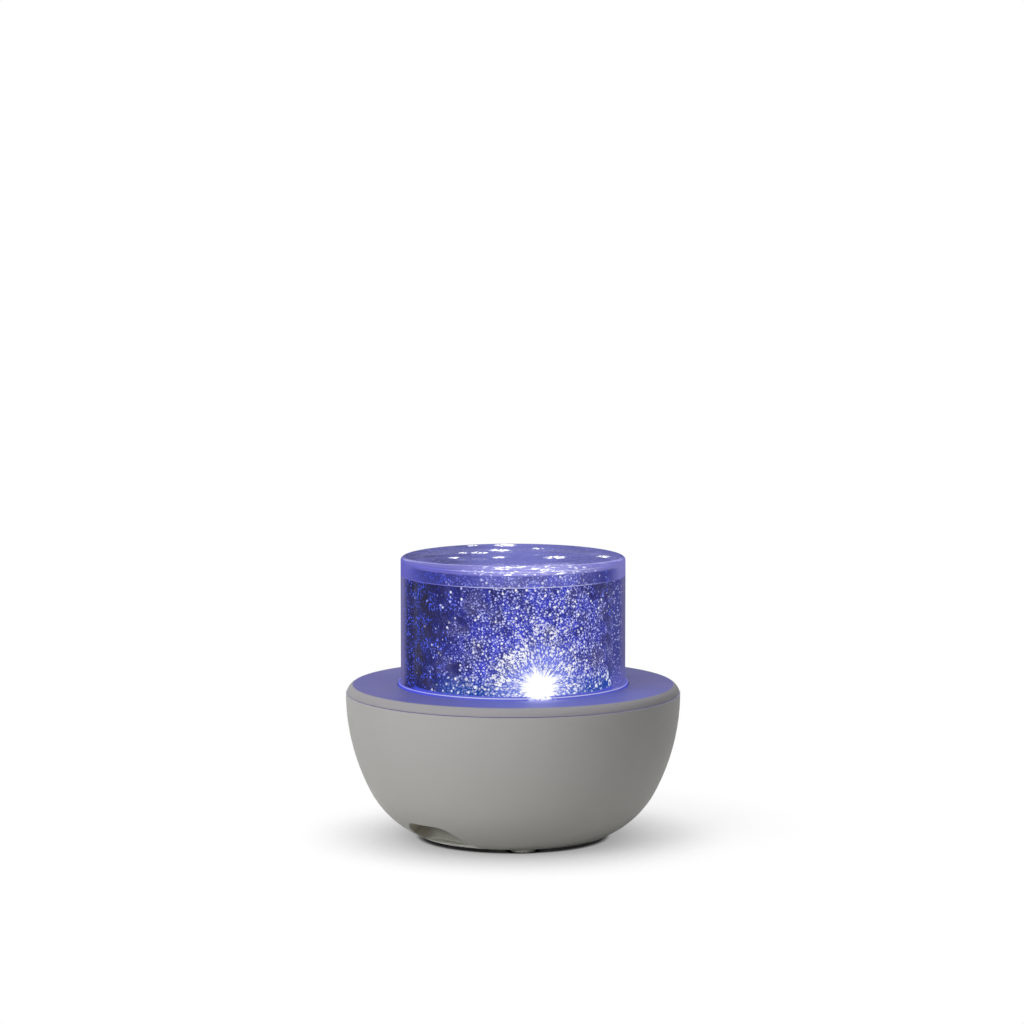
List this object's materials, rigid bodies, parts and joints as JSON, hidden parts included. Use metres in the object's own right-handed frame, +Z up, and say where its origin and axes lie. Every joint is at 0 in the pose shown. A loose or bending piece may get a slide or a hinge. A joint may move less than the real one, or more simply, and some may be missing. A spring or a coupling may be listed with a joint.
{
  "type": "night light projector",
  "caption": "Bowl-shaped base with a flat deck, a clear capped cylinder and a motor-driven printed film drum round a lamp.",
  "frame": {"origin": "on the table surface, under the drum's axis", "axes": "+Z up along the drum's axis, -Y to the front, +X to the right seen from the front"},
  "size_m": [0.12, 0.12, 0.1013],
  "materials": {
    "shell_grey": "fine spark-eroded moulding, satin",
    "deck_plastic": "pale grey moulding, satin",
    "rubber": "matte",
    "zinc_steel": "zinc plated",
    "white_abs": "moulded, matt",
    "acetal": "moulded, waxy",
    "turntable_plastic": "dark blue moulding, satin",
    "printed_film": "printed film",
    "clear_acrylic": "clear, polished, blue from the lamp",
    "motor_steel": "zinc plated",
    "steel": "turned",
    "board_white": "white solder mask",
    "led_lens": "clear epoxy over yellow-free chip",
    "button_plastic": "moulded, semi-gloss",
    "black_plastic": "moulded",
    "board_green": "green solder mask",
    "nylon": "moulded",
    "tin": "tin plated",
    "cell_wrap": "shrink sleeve",
    "contact_metal": "nickel plated spring brass",
    "lead_grey": "soft PVC",
    "lead_red": "soft PVC"
  },
  "bodies": {
    "base": {"bowl_shell": "shell_grey", "top_cover": "deck_plastic", "rubber_feet": "rubber", "case_screws": "zinc_steel", "chassis_plate": "white_abs", "chassis_screws": "zinc_steel", "thrust_washer": "acetal", "gear_motor": "motor_steel", "motor_screws": "zinc_steel", "lamp_post": "white_abs", "lamp_screws": "zinc_steel", "led_board": "board_white", "led_emitters": "led_lens", "switch_bodies": "black_plastic", "button_board": "board_green", "button_screws": "zinc_steel", "main_board": "board_green", "board_screws": "zinc_steel", "board_parts": "black_plastic", "wire_plugs": "nylon", "usb_socket": "tin", "battery_holder": "black_plastic", "battery_cell": "cell_wrap", "battery_contacts": "contact_metal", "lamp_lead": "lead_grey", "motor_lead": "lead_red", "button_lead": "lead_grey", "battery_lead": "lead_red"},
    "turntable": {"turntable": "turntable_plastic", "film_roll": "printed_film", "film_disc": "printed_film"},
    "pinion": {"motor_shaft": "steel", "drive_pinion": "acetal"},
    "cover": {"clear_cover": "clear_acrylic"},
    "lid": {"clear_lid": "clear_acrylic"},
    "power_button": {"power_button": "button_plastic", "power_plunger": "black_plastic"},
    "colour_button": {"colour_button": "button_plastic", "colour_plunger": "black_plastic"},
    "spin_button": {"spin_button": "button_plastic", "spin_plunger": "black_plastic"}
  },
  "joints": [
    {"name": "turntable_spin", "type": "hinge", "parent": "base", "child": "turntable", "pos_m": [0, 0, 0.0554], "axis": [0, 0, 1], "continuous": true},
    {"name": "pinion_spin", "type": "hinge", "parent": "base", "child": "pinion", "pos_m": [-0.0038, 0.03097, 0.0484], "axis": [0, 0, 1], "continuous": true},
    {"name": "cover_lift", "type": "slide", "parent": "turntable", "child": "cover", "axis": [0, 0, 1], "range_m": [0, 0.05]},
    {"name": "lid_lift", "type": "slide", "parent": "cover", "child": "lid", "axis": [0, 0, 1], "range_m": [0, 0.03]},
    {"name": "power_press", "type": "slide", "parent": "base", "child": "power_button", "axis": [0, 0, -1], "range_m": [0, 0.0005], "stiffness_N_per_m": 2000, "springref_m": -0.0005},
    {"name": "colour_press", "type": "slide", "parent": "base", "child": "colour_button", "axis": [0, 0, -1], "range_m": [0, 0.0005], "stiffness_N_per_m": 2000, "springref_m": -0.0005},
    {"name": "spin_press", "type": "slide", "parent": "base", "child": "spin_button", "axis": [0, 0, -1], "range_m": [0, 0.0005], "stiffness_N_per_m": 2000, "springref_m": -0.0005}
  ],
  "couplings": [
    {"joint": "pinion_spin", "follows": "turntable_spin", "ratio": -3.3333}
  ]
}
